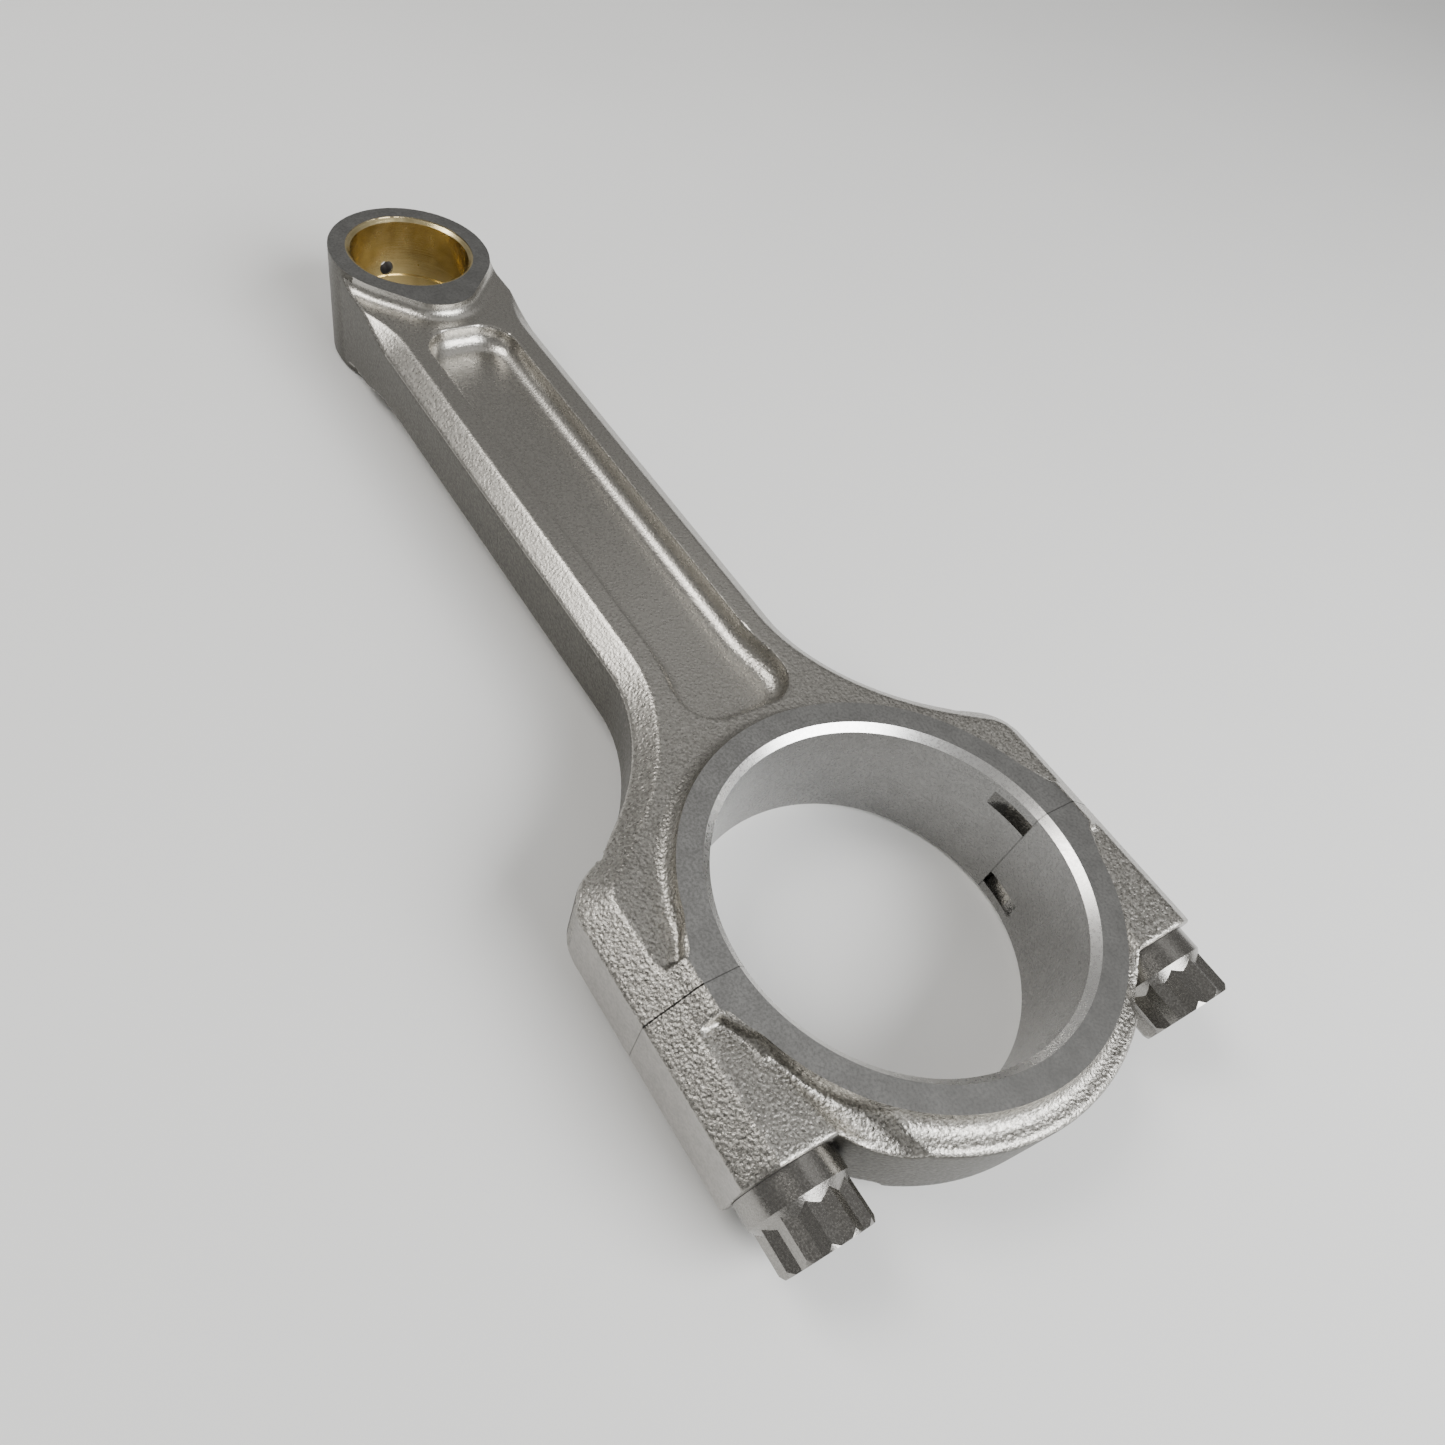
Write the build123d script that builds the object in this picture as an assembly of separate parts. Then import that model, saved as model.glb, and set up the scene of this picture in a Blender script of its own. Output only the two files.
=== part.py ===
from build123d import *
import math
import os

os.makedirs("parts", exist_ok=True)

# Frame: origin on the big-end bore axis at mid width, +X to the small end, +Z along both bores.
CENTRES = 152.0
BORE_R = 25.5
BORE_CHAMFER = 1.05
BIG_HALF = 10.0
RING_R = 30.1
RING_FILLET = 2.2
STRAP_R = 34.0
SEAT_X = -21.5
BOSS_Y = 39.05
RIDGE_Y = 34.7
RIDGE_Z = 7.9
CREST_Y = 32.05
BEAM_Y = 14.85
BEAM_SIDE_HALF = 4.7
PLATEAU = 7.2
PLATEAU_Y = 11.5
FACET_ANGLE = math.degrees(math.atan2(PLATEAU - BEAM_SIDE_HALF, BEAM_Y - PLATEAU_Y))
POCKET_Y = 8.1
POCKET_FLOOR = 3.5
POCKET_FILLET = 2.9
SMALL_R = 15.0
SMALL_HALF = 9.4
NOSE_R = 8.0
NOSE_X = CENTRES - 10.2
NOSE_FILLET = 1.8
BUSH_R = 11.8
PIN_R = 11.0
PIN_CHAMFER = 0.5
OIL_R = 1.4
BOLT_Y = 31.8
BOLT_R = 4.76
BOLT_WAIST_R = 4.2
BOLT_HOLE_R = 4.83
BOLT_TIP_X = 19.0
FLANGE_R = 6.82
FLANGE_T = 3.4
FLANGE_CONE = 1.7
NECK_R = 5.6
HEAD_R = 6.4
HEAD_END_X = -31.2
HEAD_END_R = 6.0
HEAD_TURN = {"left": 12.0, "right": 5.5}
SLEEVE_R = 5.55
SLEEVE_HALF = 4.0
SLEEVE_POCKET = 4.2
SLEEVE_PLAY = 0.03
TANG_W = 2.7
TANG_LEN = 7.0
SPLIT_GAP = 0.04


def slab(half, sketch):
    return extrude(sketch, amount=half, both=True)


def cyl(r, x0, x1, y, z=0.0):
    disc = Plane(origin=(x0, y, z), x_dir=(0, 1, 0), z_dir=(1, 0, 0)) * Circle(r)
    return extrude(disc, amount=x1 - x0)


def prism_x(points, x0, x1):
    plane = Plane(origin=(x0, 0, 0), x_dir=(0, 1, 0), z_dir=(1, 0, 0))
    return extrude(plane * make_face(Polyline(*points, close=True)), amount=x1 - x0)


def block(x0, x1, half_y, half_z):
    return Pos((x0 + x1) / 2, 0, 0) * Box(x1 - x0, 2 * half_y, 2 * half_z)


def both_y(shape):
    return shape + mirror(shape, about=Plane.XZ)


def both_z(shape):
    return shape + mirror(shape, about=Plane.XY)


def plan_outline():
    # plan of the forging: boss side, shoulder sweep, beam, then the flare into the small end
    sweep = Spline(
        (50.0, BEAM_Y), (39.2, 17.3), (30.8, 22.7), (25.2, 28.6), (20.9, 35.2),
        tangents=((-1.0, 0.0), (-0.5, 0.86)),
    )
    corner = ThreePointArc((20.9, 35.2), (18.08, 38.02), (14.23, BOSS_Y))
    top = Line((14.23, BOSS_Y), (-30.0, BOSS_Y))
    end = Line((-30.0, BOSS_Y), (-30.0, 0.0))
    axis = Line((-30.0, 0.0), (CENTRES + 6.0, 0.0))
    tip = Line((CENTRES + 6.0, 0.0), (CENTRES + 6.0, 20.7))
    brow = Line((CENTRES + 6.0, 20.7), (141.15, 20.7))
    flare = ThreePointArc((141.15, 20.7), (134.65, 16.37), (127.0, BEAM_Y))
    side = Line((127.0, BEAM_Y), (50.0, BEAM_Y))
    half = make_face(Wire([sweep, corner, top, end, axis, tip, brow, flare, side]))
    return half + mirror(half, about=Plane.XZ)


def forging():
    # sloping facets rise from a narrow side face all round the plan
    plan = plan_outline()
    rise = 3.5
    crown = extrude(Plane.XY.offset(BEAM_SIDE_HALF) * plan, amount=rise, taper=90.0 - FACET_ANGLE)
    body = slab(BEAM_SIDE_HALF, plan) + both_z(crown)
    top = [(0.0, PLATEAU), (27.0, PLATEAU), (BOSS_Y + 1, 8.4), (BOSS_Y + 1, 0.0), (0.0, 0.0)]
    body = body & both_z(both_y(prism_x(top, SEAT_X, CENTRES)))
    return body & (block(SEAT_X, 100.0, 60.0, 30.0) + block(90.0, CENTRES, BEAM_Y, 30.0))


def big_ring():
    # machined thrust ring with a forged fillet round its foot
    foot = Plane.XZ * make_face(
        Polyline((28.0, 5.0), (RING_R + RING_FILLET, 5.0), (RING_R + RING_FILLET, PLATEAU))
        + RadiusArc(
            (RING_R + RING_FILLET, PLATEAU), (RING_R, PLATEAU + RING_FILLET), RING_FILLET
        )
        + Polyline((RING_R, PLATEAU + RING_FILLET), (28.0, PLATEAU + RING_FILLET), (28.0, 5.0))
    )
    return slab(BIG_HALF, Circle(RING_R)) + both_z(revolve(foot, Axis.Z))


def ear():
    # crest that carries the thrust face out over each bolt at the split
    brow = Spline(
        (9.9, 28.3), (6.4, 30.4), (3.9, 31.7), (0.0, CREST_Y), (-3.9, 31.7), (-6.4, 30.4), (-9.9, 28.3),
        tangents=((-0.9, 0.32), (-0.9, -0.32)),
    )
    crest = slab(BIG_HALF, make_face(Wire([brow, Line((-9.9, 28.3), (9.9, 28.3))])))
    wedge = [(29.0, BIG_HALF), (CREST_Y, BIG_HALF), (RIDGE_Y, RIDGE_Z), (RIDGE_Y, 5.0), (29.0, 5.0)]
    return both_y(crest + both_z(prism_x(wedge, -4.1, 4.1)))


def strap():
    disc = slab(PLATEAU, Circle(STRAP_R))
    return fillet(disc.edges(), 0.9) & block(-40.0, 0.0, 60.0, 30.0)


def scallop():
    # clearance hollow between each cap boss and the strap
    track = Plane(origin=(-10.5, 27.6, 10.5), x_dir=(0, 1, 0), z_dir=(-0.94, -0.335, -0.11))
    return both_z(both_y(extrude(track * Circle(3.2), amount=20.0)))


def eye_plan(grow):
    ring = Pos(CENTRES, 0) * Circle(SMALL_R + grow)
    nose = Pos(NOSE_X, 0) * Circle(NOSE_R + grow)
    return make_hull(ring.edges() + nose.edges())


def small_end():
    foot = slab(PLATEAU, eye_plan(NOSE_FILLET + 0.1)) + slab(SMALL_HALF, eye_plan(0.0))
    step = foot.edges().filter_by(
        lambda e: abs(abs(e.center().Z) - PLATEAU) < 0.01 and abs(e.center().X - CENTRES) < 19.5
    )
    inner = step.filter_by(lambda e: eye_gap(e @ 0.5) < 0.5)
    foot = fillet(inner, NOSE_FILLET)
    neck = foot & block(100.0, CENTRES, BEAM_Y, 30.0)
    return neck + slab(SMALL_HALF, eye_plan(0.0))


def eye_gap(p):
    # distance outside the eye plan, near enough for picking edges
    ring = math.hypot(p.X - CENTRES, p.Y) - SMALL_R
    nose = math.hypot(p.X - NOSE_X, p.Y) - NOSE_R
    return min(ring, nose)


def pocket():
    half = Wire([
        Line((33.9, 0.0), (33.9, 3.3)),
        ThreePointArc((33.9, 3.3), (35.66, 7.54), (39.9, 9.3)),
        Spline((39.9, 9.3), (43.8, 8.8), (49.0, POCKET_Y), tangents=((1.0, 0.0), (1.0, 0.0))),
        Line((49.0, POCKET_Y), (124.2, POCKET_Y)),
        ThreePointArc((124.2, POCKET_Y), (128.44, 6.34), (130.2, 2.1)),
        Line((130.2, 2.1), (130.2, 0.0)),
        Line((130.2, 0.0), (33.9, 0.0)),
    ])
    plan = make_face(half)
    plan += mirror(plan, about=Plane.XZ)
    tool = extrude(Plane.XY.offset(POCKET_FLOOR) * plan, amount=8.0)
    floor = tool.faces().sort_by(Axis.Z)[0]
    return both_z(fillet(floor.edges(), POCKET_FILLET))


def finish_bores(body):
    body -= slab(30.0, Circle(BORE_R))
    rim = Plane.XY.offset(BIG_HALF) * Circle(BORE_R + BORE_CHAMFER)
    throat = Plane.XY.offset(BIG_HALF - BORE_CHAMFER) * Circle(BORE_R)
    body -= both_z(loft([throat, rim]))
    body -= Pos(CENTRES, 0, 0) * slab(30.0, Circle(BUSH_R))
    body -= cyl(OIL_R + 0.1, CENTRES + 5.0, CENTRES + 30.0, 0.0)
    for y in (BOLT_Y, -BOLT_Y):
        body -= cyl(FLANGE_R + 0.5, -40.0, SEAT_X, y)
        body -= cyl(BOLT_HOLE_R, -30.0, 40.0, y)
        body -= cyl(SLEEVE_R, 0.0, SLEEVE_POCKET, y)
        body -= cyl(SLEEVE_R + SLEEVE_PLAY, -SLEEVE_POCKET, 0.0, y)
    body -= tang(-1, 1, 1)
    body -= tang(-1, -1, -1)
    return body


def tang(y_side, z_side, x_side):
    # bearing locating notch cut through the bore wall at the split line
    cutter = Plane.XY.offset(z_side * 4.8) * Pos(x_side * 0.5, y_side * 18.3) * Circle(9.0)
    disc = extrude(cutter, amount=z_side * TANG_W)
    return disc & (Pos(x_side * TANG_LEN / 2, y_side * 25.0, 0) * Box(TANG_LEN, 20.0, 30.0))


def bush():
    sleeve = slab(SMALL_HALF - 0.1, Circle(BUSH_R) - Circle(PIN_R))
    inner = sleeve.edges().filter_by(GeomType.CIRCLE).filter_by(lambda e: abs(e.radius - PIN_R) < 0.01)
    sleeve = chamfer(inner, PIN_CHAMFER)
    groove = slab(OIL_R + 0.05, Circle(PIN_R + 0.3))
    sleeve = Pos(CENTRES, 0, 0) * (sleeve - groove)
    return sleeve - cyl(OIL_R, CENTRES + 5.0, CENTRES + 30.0, 0.0)


def bolt(y, turn):
    x_flange = SEAT_X - FLANGE_T
    at = Plane(origin=(HEAD_END_X, y, 0), x_dir=(0, 1, 0), z_dir=(1, 0, 0))
    hexagon = Rot(0, 0, turn) * RegularPolygon(HEAD_R, 6, major_radius=True)
    star = hexagon + Rot(0, 0, 30) * hexagon
    head_len = x_flange - HEAD_END_X
    head = extrude(at * star, amount=head_len) & extrude(at * Circle(HEAD_END_R), amount=head_len, taper=-30)
    neck = Plane(origin=(x_flange - FLANGE_CONE, y, 0), x_dir=(0, 1, 0), z_dir=(1, 0, 0)) * Circle(NECK_R)
    rim = Plane(origin=(x_flange, y, 0), x_dir=(0, 1, 0), z_dir=(1, 0, 0)) * Circle(FLANGE_R)
    flange = loft([neck, rim]) + cyl(FLANGE_R, x_flange, SEAT_X, y)
    shank = cyl(BOLT_R, SEAT_X - 1.0, SEAT_X + 3.0, y)
    shank += cyl(BOLT_WAIST_R, SEAT_X + 3.0, -6.5, y)
    shank += cyl(BOLT_R, -6.5, BOLT_TIP_X, y)
    shank = chamfer(shank.edges().sort_by(Axis.X)[-1:], 0.9)
    return flange + head + shank - cyl(2.6, HEAD_END_X - 1.0, HEAD_END_X + 1.6, y)


def sleeve(y):
    ring = cyl(SLEEVE_R, -SLEEVE_HALF, SLEEVE_HALF, y)
    ring = chamfer(ring.edges(), 0.3)
    return ring - cyl(BOLT_HOLE_R, -SLEEVE_HALF - 1, SLEEVE_HALF + 1, y)


# one forging, then cut across the big bore like the real part
whole = forging() + strap() + big_ring() + ear() + small_end()
whole -= pocket()
whole -= scallop() - slab(BIG_HALF, Circle(RING_R))
whole = finish_bores(whole.clean())
export_step(whole & block(0.0, 200.0, 60.0, 30.0), "parts/rod_body.step")
export_step(whole & block(-60.0, -SPLIT_GAP, 60.0, 30.0), "parts/bearing_cap.step")
export_step(bush(), "parts/small_end_bush.step")
for side, y in (("left", BOLT_Y), ("right", -BOLT_Y)):
    export_step(bolt(y, HEAD_TURN[side]), "parts/cap_bolt_" + side + ".step")
    export_step(sleeve(y), "parts/dowel_sleeve_" + side + ".step")
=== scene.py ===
import math
import bmesh
import bpy
from mathutils import Matrix, Vector


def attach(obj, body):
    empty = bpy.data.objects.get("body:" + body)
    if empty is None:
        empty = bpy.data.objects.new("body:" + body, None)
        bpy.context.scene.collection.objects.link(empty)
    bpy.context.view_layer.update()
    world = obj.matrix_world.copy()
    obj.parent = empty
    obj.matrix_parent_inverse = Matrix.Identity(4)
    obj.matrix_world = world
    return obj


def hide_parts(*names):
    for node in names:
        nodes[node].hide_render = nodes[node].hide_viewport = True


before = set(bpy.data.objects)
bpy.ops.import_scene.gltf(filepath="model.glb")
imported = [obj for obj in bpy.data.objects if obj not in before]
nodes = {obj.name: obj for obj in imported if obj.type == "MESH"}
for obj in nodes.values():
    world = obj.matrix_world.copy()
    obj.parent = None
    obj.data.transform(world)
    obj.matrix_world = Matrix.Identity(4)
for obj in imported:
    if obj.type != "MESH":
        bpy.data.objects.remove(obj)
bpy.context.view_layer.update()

MM = 0.001

# sizes in millimetres, as on the CAD parts
CENTRES = 152.0
BORE_R = 25.5
BORE_CHAMFER = 1.05
RING_R = 30.1
RING_Z = 10.0
EYE_R = 15.0
EYE_Z = 9.4
NOSE_R = 8.0
NOSE_BACK = 10.2
BUSH_R = 11.8
OIL_R = 1.5
SEAT_X = -21.5
BOLT_Y = 31.8
BOLT_HOLE_R = 4.83
SLEEVE_R = 5.55
SLEEVE_DEPTH = 4.2
FLANGE_CLEAR_R = 7.32
FLAT_Y = 38.95
SPLIT_GAP = 0.04
TANG_Y = 18.3
TANG_R = 9.0
TANG_LEN = 7.0
TANG_Z = (4.8, 7.5)
SMOOTH_ANGLE = 32


# ---------- camera ----------
def make_camera():
    data = bpy.data.cameras.new("camera")
    data.lens = 25.01
    data.sensor_width = 36.0
    data.shift_x = 0.0678
    data.shift_y = 0.0876
    data.clip_start = 0.005
    data.clip_end = 20.0
    cam = bpy.data.objects.new("camera", data)
    place = Vector((-28.775, 80.009, 113.252)) * MM
    ahead = Vector((0.39064, -0.39612, -0.83096)).normalized()
    right = ahead.cross(Vector((0.77166, -0.35128, 0.53022))).normalized()
    up = right.cross(ahead)
    turn = Matrix((right, up, -ahead)).transposed()
    cam.matrix_world = Matrix.Translation(place) @ turn.to_4x4()
    bpy.context.scene.collection.objects.link(cam)
    bpy.context.scene.camera = cam


# ---------- material helpers ----------
class Mat:
    def __init__(self, name):
        self.mat = bpy.data.materials.new(name)
        self.mat.use_nodes = True
        self.tree = self.mat.node_tree
        self.tree.nodes.clear()
        self.out = self.new("OutputMaterial")
        self.bsdf = self.new("BsdfPrincipled")
        self.link(self.bsdf.outputs[0], self.out.inputs[0])
        self.pos = self.new("TexCoord").outputs["Object"]

    def new(self, kind, **settings):
        node = self.tree.nodes.new("ShaderNode" + kind)
        for key, value in settings.items():
            setattr(node, key, value)
        return node

    def link(self, a, b):
        self.tree.links.new(a, b)

    def feed(self, socket, value):
        if isinstance(value, (int, float, tuple)):
            socket.default_value = value
        else:
            self.link(value, socket)

    def math(self, op, a, b=0.0):
        node = self.new("Math", operation=op)
        self.feed(node.inputs[0], a)
        self.feed(node.inputs[1], b)
        return node.outputs[0]

    def along(self):
        # distance from the split along the beam, in metres
        parts = self.new("SeparateXYZ")
        self.link(self.pos, parts.inputs[0])
        return parts.outputs["X"]

    def stretched(self, scale):
        node = self.new("VectorMath", operation="MULTIPLY")
        self.link(self.pos, node.inputs[0])
        node.inputs[1].default_value = scale
        return node.outputs[0]

    def noise(self, scale, detail=2.0, rough=0.5, at=None):
        node = self.new("TexNoise")
        self.link(at or self.pos, node.inputs["Vector"])
        node.inputs["Scale"].default_value = scale
        node.inputs["Detail"].default_value = detail
        node.inputs["Roughness"].default_value = rough
        return node.outputs["Fac"]

    def cells(self, scale):
        node = self.new("TexVoronoi", feature="SMOOTH_F1")
        self.link(self.pos, node.inputs["Vector"])
        node.inputs["Scale"].default_value = scale
        node.inputs["Smoothness"].default_value = 0.6
        return node.outputs["Distance"]

    def span(self, value, lo, hi, to_lo=0.0, to_hi=1.0):
        node = self.new("MapRange")
        self.feed(node.inputs["Value"], value)
        limits = (("From Min", lo), ("From Max", hi), ("To Min", to_lo), ("To Max", to_hi))
        for key, number in limits:
            node.inputs[key].default_value = number
        return node.outputs[0]

    def mix(self, amount, a, b):
        node = self.new("Mix", data_type="RGBA")
        self.feed(node.inputs[0], amount)
        self.feed(node.inputs[6], a)
        self.feed(node.inputs[7], b)
        return node.outputs[2]

    def bump(self, height, distance):
        node = self.new("Bump")
        self.link(height, node.inputs["Height"])
        node.inputs["Distance"].default_value = distance
        node.inputs["Strength"].default_value = 1.0
        return node.outputs[0]

    def edge(self, radius):
        # 0 on flats, rising on the edges; marks edges painted brighter, partly as wear and partly as
        # painted highlight
        bevel = self.new("Bevel", samples=6)
        bevel.inputs["Radius"].default_value = radius
        geo = self.new("NewGeometry")
        dot = self.new("VectorMath", operation="DOT_PRODUCT")
        self.link(bevel.outputs[0], dot.inputs[0])
        self.link(geo.outputs["Normal"], dot.inputs[1])
        return self.span(dot.outputs["Value"], 0.995, 0.9)

    def seam(self, color, strength=1.0):
        # painted shade: dark hairline where rod and cap meet, standing in for the shadow in the split
        middle = SPLIT_GAP / 2 * MM
        off = self.math("ABSOLUTE", self.math("ADD", self.along(), middle))
        amount = self.span(off, 0.08 * MM, 0.13 * MM, strength, 0.0)
        return self.mix(amount, color, (0.02, 0.019, 0.017, 1))

    def set(self, **inputs):
        for key, value in inputs.items():
            self.feed(self.bsdf.inputs[key.replace("_", " ")], value)


def scaled(color, factor):
    return tuple(min(1, factor * c) for c in color[:3]) + (1,)


# ---------- finishes, with painted shade and painted highlight ---
def peened(name, grain, depth, dark, light, rough, calm=1.0):
    # shot-peened skin: coarse and sparkling at the big end, down to calm along the beam
    m = Mat(name)
    coarse = m.noise(grain, 4.0, 0.6)
    pits = m.cells(grain * 0.8)
    height = m.math("ADD", coarse, m.math("MULTIPLY", pits, 0.7))
    level = m.span(m.along(), 15 * MM, 60 * MM, 1.0, calm)
    speck = m.span(coarse, 0.38, 0.62)
    color = m.mix(m.math("MULTIPLY", speck, level), m.mix(level, light, dark), light)
    wear = m.span(m.noise(90.0, 3.0), 0.3, 0.7, 0.0, 0.3)
    color = m.mix(wear, color, scaled(light, 0.75))
    m.set(Base_Color=m.seam(color), Metallic=1.0)
    m.set(Roughness=m.span(m.noise(grain * 0.8), 0.3, 0.7, rough - 0.06, rough + 0.06))
    m.set(Normal=m.bump(m.math("MULTIPLY", height, level), depth))
    return m.mat


def machined(name, color, rough, mottle=0.3, lines=None, depth=2e-6):
    # cut or ground steel; lines stretches the bump into tool marks
    m = Mat(name)
    spots = m.noise(2400.0, 4.0, 0.7)
    cloud = m.noise(300.0, 3.0)
    pale = scaled(color, 1.2)
    deep = scaled(color, 0.5)
    shade = m.mix(m.math("MULTIPLY", m.span(spots, 0.4, 0.62), mottle), pale, deep)
    shade = m.mix(m.span(cloud, 0.35, 0.65, 0.0, mottle * 0.5), shade, deep)
    m.set(Base_Color=m.seam(shade, 0.3), Metallic=1.0)
    m.set(Roughness=m.span(spots, 0.3, 0.7, rough - 0.05, rough + 0.08))
    height = m.noise(1.0, 2.0, 0.6, at=m.stretched(lines)) if lines else spots
    m.set(Normal=m.bump(height, depth))
    return m.mat


def steel_set():
    return {
        "peened": peened(
            "peened_steel", grain=2600.0, depth=0.0001,
            dark=(0.18, 0.172, 0.155, 1), light=(0.56, 0.54, 0.5, 1), rough=0.3, calm=0.35,
        ),
        # darker copy of the peened skin for the upright outer walls: painted shade
        "side": peened(
            "shaded_wall_forging", grain=2600.0, depth=0.00003,
            dark=(0.065, 0.062, 0.054, 1), light=(0.13, 0.124, 0.109, 1), rough=0.4,
        ),
        "ground": machined("ground_face", (0.3, 0.297, 0.288, 1), 0.36, mottle=0.6, depth=1.2e-5),
        "bore": machined(
            "honed_bore", (0.27, 0.267, 0.26, 1), 0.25, lines=(900.0, 900.0, 60.0), depth=1.2e-5,
        ),
        # bright copy for the bore chamfer: painted highlight
        "edge": machined("highlit_chamfer", (0.8, 0.79, 0.77, 1), 0.28, mottle=0.1),
        # near-black copy for the inside of holes: painted shade
        "hole_shade": machined("painted_shade_hole", (0.08, 0.075, 0.07, 1), 0.4),
        "milled": machined("milled_flat", (0.4, 0.385, 0.365, 1), 0.34, lines=(150.0, 2500.0, 9000.0)),
    }


def bronze():
    m = Mat("bush_bronze")
    cloud = m.noise(400.0, 3.0)
    color = m.mix(m.span(cloud, 0.3, 0.7), (0.56, 0.46, 0.24, 1), (0.7, 0.59, 0.33, 1))
    # edges painted brighter: partly wear, partly painted highlight
    color = m.mix(m.edge(0.3 * MM), color, (0.9, 0.76, 0.45, 1))
    m.set(Base_Color=color, Metallic=1.0, Roughness=m.span(cloud, 0.3, 0.7, 0.2, 0.28))
    turning = m.noise(1.0, 2.0, at=m.stretched((80.0, 80.0, 5000.0)))
    m.set(Normal=m.bump(turning, 1.5e-5))
    return m.mat


def bolt_steel():
    m = Mat("bolt_steel")
    grain = m.noise(4200.0, 3.0, 0.6)
    color = m.mix(m.span(grain, 0.35, 0.65), (0.24, 0.23, 0.215, 1), (0.34, 0.33, 0.31, 1))
    m.set(Base_Color=color, Metallic=1.0, Roughness=m.span(grain, 0.3, 0.7, 0.2, 0.3))
    m.set(Normal=m.bump(grain, 1.5e-5))
    return m.mat


def finish_of(centre, normal):
    # which finish a face of the forging has had, judged in millimetres; three entries are painted
    # light rather than finish: painted shade on the upright walls and in the holes, and a painted
    # highlight on the bore chamfer
    x, y, z = centre / MM
    off_bore = math.hypot(x, y)
    off_eye = math.hypot(x - CENTRES, y)
    off_bolt = math.hypot(abs(y) - BOLT_Y, z)
    level = abs(normal.z) > 0.99
    upright = abs(normal.z) < 0.35
    if level and abs(z) > RING_Z - 0.03:
        return "ground"
    # the bore chamfer gets the bright copy: painted highlight
    if off_bore < BORE_R + 1.2:
        return "edge" if abs(z) > RING_Z - BORE_CHAMFER else "bore"
    if level and abs(abs(z) - EYE_Z) < 0.03 and off_eye < 30:
        return "ground"
    if abs(normal.x) > 0.98 and min(abs(x), abs(x - SEAT_X)) < 0.1:
        return "milled"
    # bolt holes, sleeve counterbores and the oil hole get the near-black copy: painted shade
    if x > SEAT_X and off_bolt < BOLT_HOLE_R + 0.03:
        return "hole_shade"
    if x > SEAT_X and off_bolt < SLEEVE_R + 0.15 and abs(x) < SLEEVE_DEPTH + 0.2:
        return "hole_shade"
    if abs(y) < 1.8 and abs(z) < 1.8 and x > CENTRES:
        return "hole_shade"
    if abs(normal.y) > 0.97 and abs(y) > FLAT_Y - 0.25:
        return "milled"
    beam_wall = abs(z) < 7.25 and x > 18 and abs(y) > 11.2 and normal.x > -0.9
    eye_wall = x > CENTRES - 6 and off_eye > 13
    strap_wall = x < SEAT_X and off_bore > 33 and abs(y) < 27
    # upright outer walls get the darker copy of the peened skin: painted shade
    if upright and (beam_wall or eye_wall or strap_wall):
        return "side"
    return "peened"


def dress_forging(obj, mats):
    order = list(mats)
    obj.data.materials.clear()
    for key in order:
        obj.data.materials.append(mats[key])
    for face in obj.data.polygons:
        face.material_index = order.index(finish_of(face.center, face.normal))


def plain(obj, mat):
    obj.data.materials.clear()
    obj.data.materials.append(mat)


# ---------- mesh tools, in millimetres ----------
def link(name, bm):
    mesh = bpy.data.meshes.new(name)
    bm.to_mesh(mesh)
    bm.free()
    obj = bpy.data.objects.new(name, mesh)
    bpy.context.scene.collection.objects.link(obj)
    return obj


def lathe(profile, origin, along, segments=192):
    # closed solid turned about an axis; profile is (radius, distance along the axis)
    bm = bmesh.new()
    turn = Vector(along).to_track_quat("Z", "Y")
    rings = []
    for radius, at in profile:
        ring = []
        for k in range(segments):
            a = 2 * math.pi * k / segments
            point = turn @ Vector((radius * math.cos(a), radius * math.sin(a), at))
            ring.append(bm.verts.new((point + Vector(origin)) * MM))
        rings.append(ring)
    for a, b in zip(rings, rings[1:]):
        for k in range(segments):
            n = (k + 1) % segments
            bm.faces.new((a[k], a[n], b[n], b[k]))
    bm.faces.new(reversed(rings[0]))
    bm.faces.new(rings[-1])
    return link("tool", bm)


def prism(plan, z0, z1):
    bm = bmesh.new()
    low = [bm.verts.new(Vector((x, y, z0)) * MM) for x, y in plan]
    high = [bm.verts.new(Vector((x, y, z1)) * MM) for x, y in plan]
    bm.faces.new(reversed(low))
    bm.faces.new(high)
    for k in range(len(plan)):
        n = (k + 1) % len(plan)
        bm.faces.new((low[k], low[n], high[n], high[k]))
    bmesh.ops.recalc_face_normals(bm, faces=bm.faces)
    return link("tool", bm)


def brick(x0, x1, y0, y1, z0, z1):
    return prism([(x0, y0), (x1, y0), (x1, y1), (x0, y1)], z0, z1)


def joined(name, objects, keep=()):
    bm = bmesh.new()
    for obj in objects:
        bm.from_mesh(obj.data)
        if obj not in keep:
            bpy.data.objects.remove(obj)
    return link(name, bm)


def copy_of(node, shift=0.0):
    mesh = nodes[node].data.copy()
    mesh.transform(Matrix.Translation((shift * MM, 0, 0)))
    obj = bpy.data.objects.new("copy", mesh)
    bpy.context.scene.collection.objects.link(obj)
    return obj


def bake(obj, kind, **settings):
    # one modifier, applied
    mod = obj.modifiers.new("step", kind)
    for key, value in settings.items():
        setattr(mod, key, value)
    shape = obj.evaluated_get(bpy.context.evaluated_depsgraph_get())
    mesh = bpy.data.meshes.new_from_object(shape)
    obj.modifiers.clear()
    obj.data = mesh


def cut(obj, tool, operation="DIFFERENCE"):
    # both meshes have to be closed, or the cut is skipped
    bake(obj, "BOOLEAN", operation=operation, object=tool, solver="MANIFOLD")
    bpy.data.objects.remove(tool)


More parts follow.
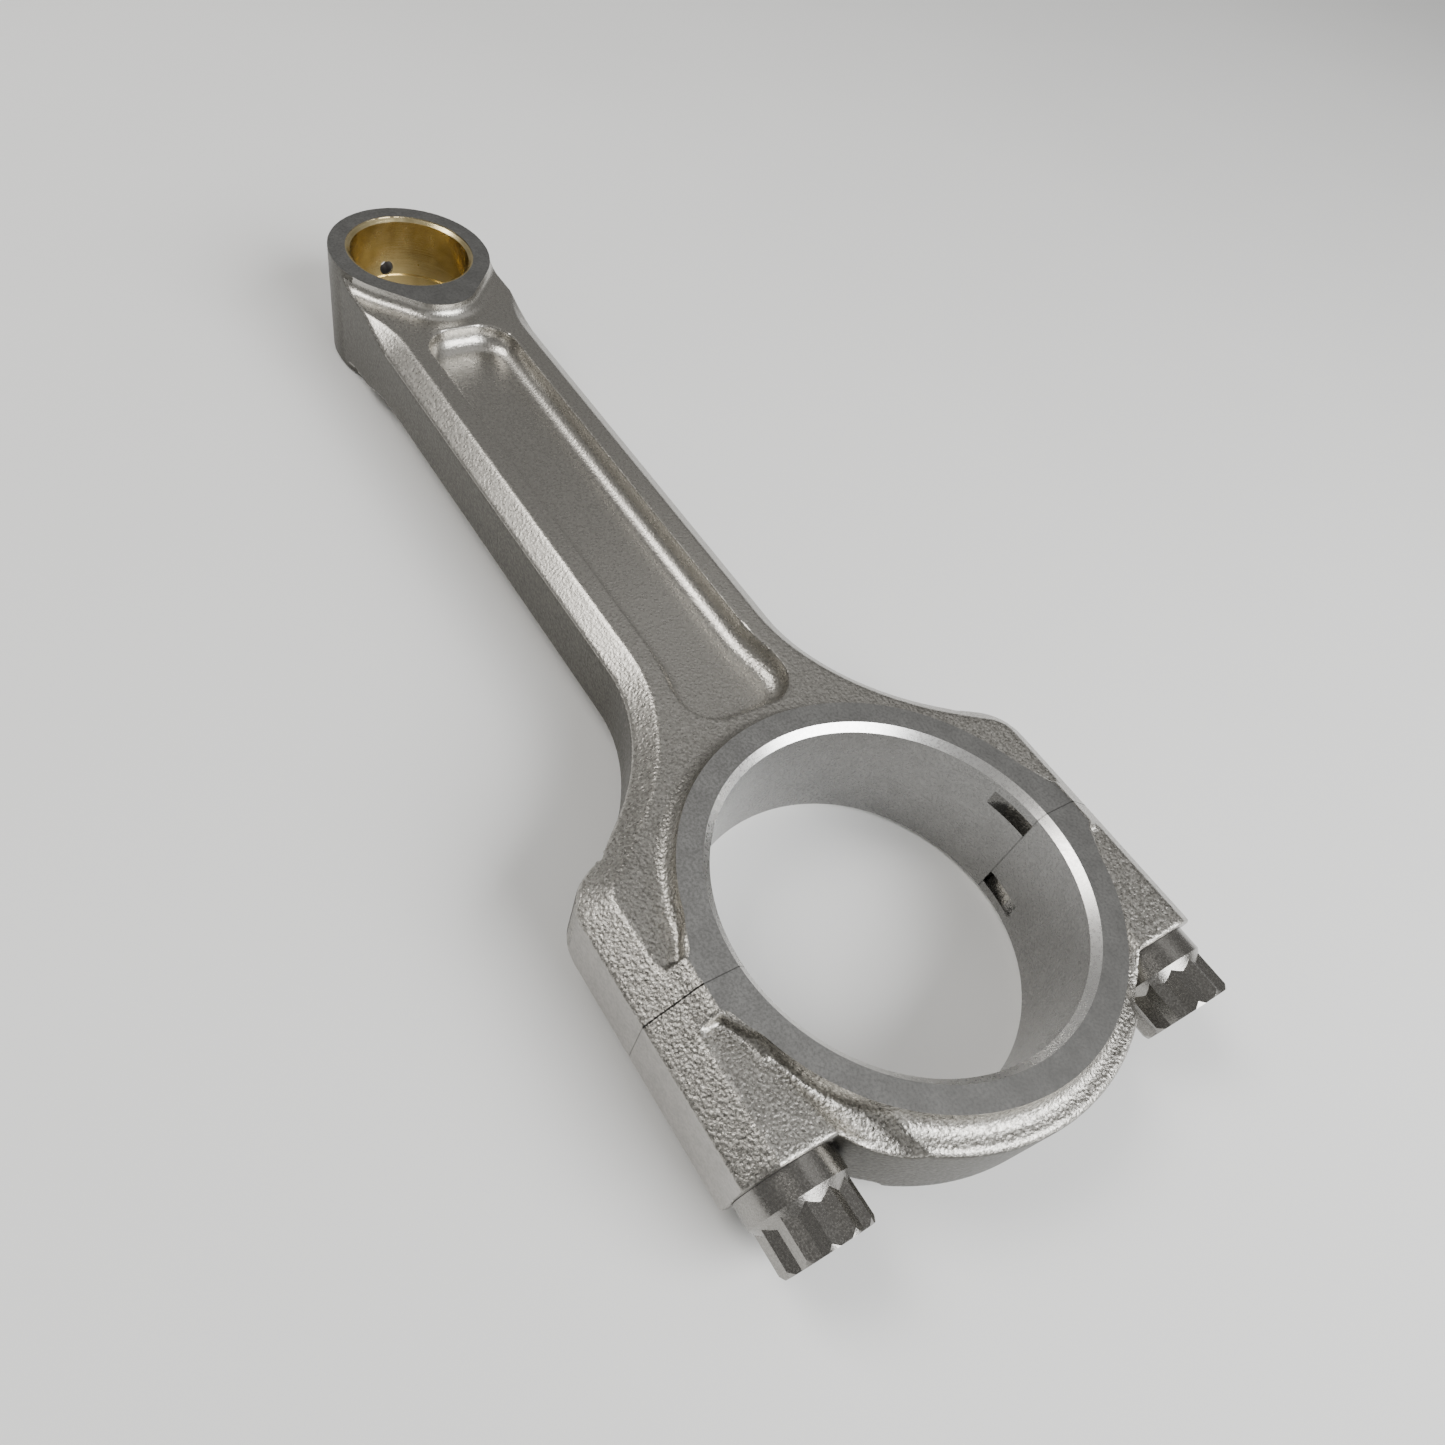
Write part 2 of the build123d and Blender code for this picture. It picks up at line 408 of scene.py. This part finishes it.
def shade(obj, flat=()):
    # smooth shading, broken at sharp edges and off on the finishes listed in flat
    mesh = obj.data
    bm = bmesh.new()
    bm.from_mesh(mesh)
    for face in bm.faces:
        face.smooth = face.material_index not in flat
    limit = math.radians(SMOOTH_ANGLE)
    for edge in bm.edges:
        finishes = {face.material_index for face in edge.link_faces}
        edge.smooth = edge.calc_face_angle(0.0) < limit and len(finishes) < 2
    bm.to_mesh(mesh)
    bm.free()


# ---------- forging: soft forged skin, then machined like the real part ----------
def eye_plan():
    # belt round the small-end circle and the nose circle
    lean = math.acos((EYE_R - NOSE_R) / NOSE_BACK)
    plan = []
    for k in range(65):
        a = -math.pi + lean + (2 * math.pi - 2 * lean) * k / 64
        plan.append((CENTRES + EYE_R * math.cos(a), EYE_R * math.sin(a)))
    for k in range(33):
        a = math.pi - lean + 2 * lean * k / 32
        plan.append((CENTRES - NOSE_BACK + NOSE_R * math.cos(a), NOSE_R * math.sin(a)))
    return plan


def tang_plan(side):
    # notch swept by a round cutter, on one side of the split
    shallow = -TANG_Y - 1.7
    plan = [(0.0, shallow)]
    for k in range(13):
        x = TANG_LEN * k / 12
        plan.append((side * x, -TANG_Y - math.sqrt(TANG_R ** 2 - (x - 0.5) ** 2)))
    plan.append((side * TANG_LEN, shallow))
    return plan


def both_bolts(profile):
    return [lathe(profile, (0, y, 0), (1, 0, 0), 96) for y in (BOLT_Y, -BOLT_Y)]


def forge():
    # fill every machined hole, then remesh and relax the skin so its edges go soft
    ring_top = RING_Z + 0.6
    eye_top = EYE_Z + 0.5
    plugs = [
        lathe([(RING_R, -ring_top), (RING_R, ring_top)], (0, 0, 0), (0, 0, 1)),
        prism(eye_plan(), -eye_top, eye_top),
        brick(-7.6, 7.6, -28.0, -24.0, -8.0, 8.0),
        lathe([(1.7, 160.0), (1.7, 166.7)], (0, 0, 0), (1, 0, 0), 24),
    ]
    plugs += both_bolts([(5.8, -21.2), (5.8, 17.0)])
    overlap = SPLIT_GAP + 0.02
    body = joined("forging", [copy_of("rod_body"), copy_of("bearing_cap", overlap)] + plugs)
    bake(body, "REMESH", mode="VOXEL", voxel_size=0.3 * MM)
    bake(body, "SMOOTH", factor=0.5, iterations=12)
    return body


def machine(body):
    clear = 14.0
    for sign in (-1, 1):
        cut(body, brick(-60, 200, -60, 60, *sorted((sign * RING_Z, sign * clear))))
        cut(body, brick(120, 200, -30, 30, *sorted((sign * EYE_Z, sign * clear))))
        cut(body, brick(-40.0, SEAT_X, *sorted((sign * 27.5, sign * 50.0)), -20.0, 20.0))
        cut(body, brick(-60.0, 60.0, *sorted((sign * FLAT_Y, sign * 50.0)), -20.0, 20.0))
    throat = RING_Z - BORE_CHAMFER
    flare = 2.05
    bore = [(BORE_R + flare, -throat - flare), (BORE_R, -throat)]
    bore += [(BORE_R, throat), (BORE_R + flare, throat + flare)]
    cut(body, lathe(bore, (0, 0, 0), (0, 0, 1), 360))
    cut(body, lathe([(BUSH_R, -20.0), (BUSH_R, 20.0)], (CENTRES, 0, 0), (0, 0, 1)))
    cut(body, lathe([(OIL_R, 157.0), (OIL_R, 175.0)], (0, 0, 0), (1, 0, 0), 32))
    bolt_hole = [
        (FLANGE_CLEAR_R, -40.0), (FLANGE_CLEAR_R, SEAT_X),
        (BOLT_HOLE_R, SEAT_X), (BOLT_HOLE_R, -SLEEVE_DEPTH),
        (SLEEVE_R, -SLEEVE_DEPTH), (SLEEVE_R, SLEEVE_DEPTH),
        (BOLT_HOLE_R, SLEEVE_DEPTH), (BOLT_HOLE_R, 40.0),
    ]
    for tool in both_bolts(bolt_hole):
        cut(body, tool)
    cut(body, prism(tang_plan(1), TANG_Z[0], TANG_Z[1]))
    cut(body, prism(tang_plan(-1), -TANG_Z[1], -TANG_Z[0]))


def split(body):
    halves = []
    for name, x0, x1 in (("rod_forging", 0.0, 200.0), ("cap_forging", -80.0, -SPLIT_GAP)):
        half = joined(name, [body], keep=[body])
        cut(half, brick(x0, x1, -60.0, 60.0, -20.0, 20.0), "INTERSECT")
        bake(half, "DECIMATE", ratio=0.35)
        half.name = name
        halves.append(half)
    bpy.data.objects.remove(body)
    return halves


# ---------- bolts: the CAD screws as they are, with no thread ----------
def threaded_bolt(side):
    bolt = copy_of("cap_bolt_" + side)
    bolt.name = "threaded_bolt_" + side
    shade(bolt)
    return bolt


# ---------- stage ----------
def pale_floor():
    m = Mat("pale_floor")
    cloud = m.span(m.noise(6.0, 3.0), 0.3, 0.7)
    m.set(Base_Color=m.mix(cloud, (0.74, 0.74, 0.73, 1), (0.78, 0.78, 0.77, 1)))
    m.set(Roughness=0.85)
    bpy.ops.mesh.primitive_plane_add(size=6.0, location=(0, 0, -(RING_Z + 0.02) * MM))
    floor = bpy.context.object
    floor.name = "floor"
    plain(floor, m.mat)


def soft_light(name, toward, distance, size, power, tint):
    # rectangular panel aimed at the middle of the rod
    data = bpy.data.lights.new(name, "AREA")
    data.shape = "RECTANGLE"
    data.size, data.size_y = size
    data.energy = power
    data.color = tint
    lamp = bpy.data.objects.new(name, data)
    way = Vector(toward).normalized()
    lamp.location = Vector((60, 0, 0)) * MM + way * distance
    lamp.rotation_euler = way.to_track_quat("Z", "Y").to_euler()
    bpy.context.scene.collection.objects.link(lamp)


def light_room():
    world = bpy.data.worlds.new("studio")
    world.use_nodes = True
    background = world.node_tree.nodes["Background"]
    background.inputs[0].default_value = (1.0, 0.99, 0.97, 1)
    background.inputs[1].default_value = 0.27
    bpy.context.scene.world = world
    soft_light("left_panel", (0.42, 0.42, 0.8), 0.7, (0.34, 0.3), 3.2, (1.0, 0.98, 0.95))
    soft_light("top_panel", (0.2, -0.45, 0.87), 0.8, (0.5, 0.5), 0.4, (1.0, 1.0, 1.0))
    soft_light("near_panel", (-0.76, -0.3, 0.58), 0.7, (0.55, 0.4), 8.5, (0.98, 0.99, 1.0))


make_camera()
pale_floor()
light_room()
steels = steel_set()
flat_finishes = [list(steels).index(key) for key in ("ground", "milled")]
forging = forge()
machine(forging)
for piece, node, body in zip(split(forging), ("rod_body", "bearing_cap"), ("rod", "cap")):
    dress_forging(piece, steels)
    shade(piece, flat_finishes)
    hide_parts(node)
    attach(piece, body)
plain(nodes["small_end_bush"], bronze())
dark = bolt_steel()
for side in ("left", "right"):
    bolt = threaded_bolt(side)
    plain(bolt, dark)
    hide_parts("cap_bolt_" + side)
    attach(bolt, side + "_bolt")
for name in ("dowel_sleeve_left", "dowel_sleeve_right"):
    plain(nodes[name], steels["milled"])
